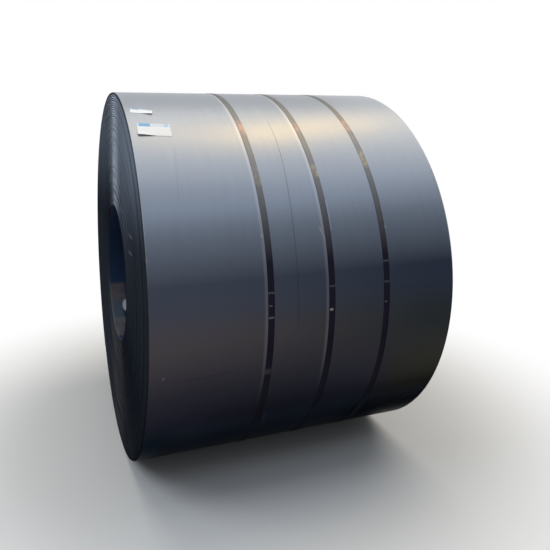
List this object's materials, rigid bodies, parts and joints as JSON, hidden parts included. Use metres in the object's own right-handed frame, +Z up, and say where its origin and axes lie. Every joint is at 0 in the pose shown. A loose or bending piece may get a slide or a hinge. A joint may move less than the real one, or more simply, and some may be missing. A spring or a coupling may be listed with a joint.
{
  "type": "steel coil",
  "caption": "Hot-rolled steel strip wound tight into a coil with an open eye, lying on its barrel, held by flat steel straps and marked with paper labels.",
  "frame": {"origin": "on the floor under the middle of the eye", "axes": "+X along the eye from the left end to the right end, -Y towards the front where the strap joints are, +Z up"},
  "size_m": [1.25, 1.6452, 1.6393],
  "materials": {
    "mill_scale_steel": "satin",
    "strap_steel": "satin",
    "label_paper": "matte"
  },
  "bodies": {
    "root": {"coil": "mill_scale_steel", "strap_left": "strap_steel", "strap_middle": "strap_steel", "strap_right": "strap_steel", "label_large": "label_paper", "label_small": "label_paper"}
  },
  "joints": []
}
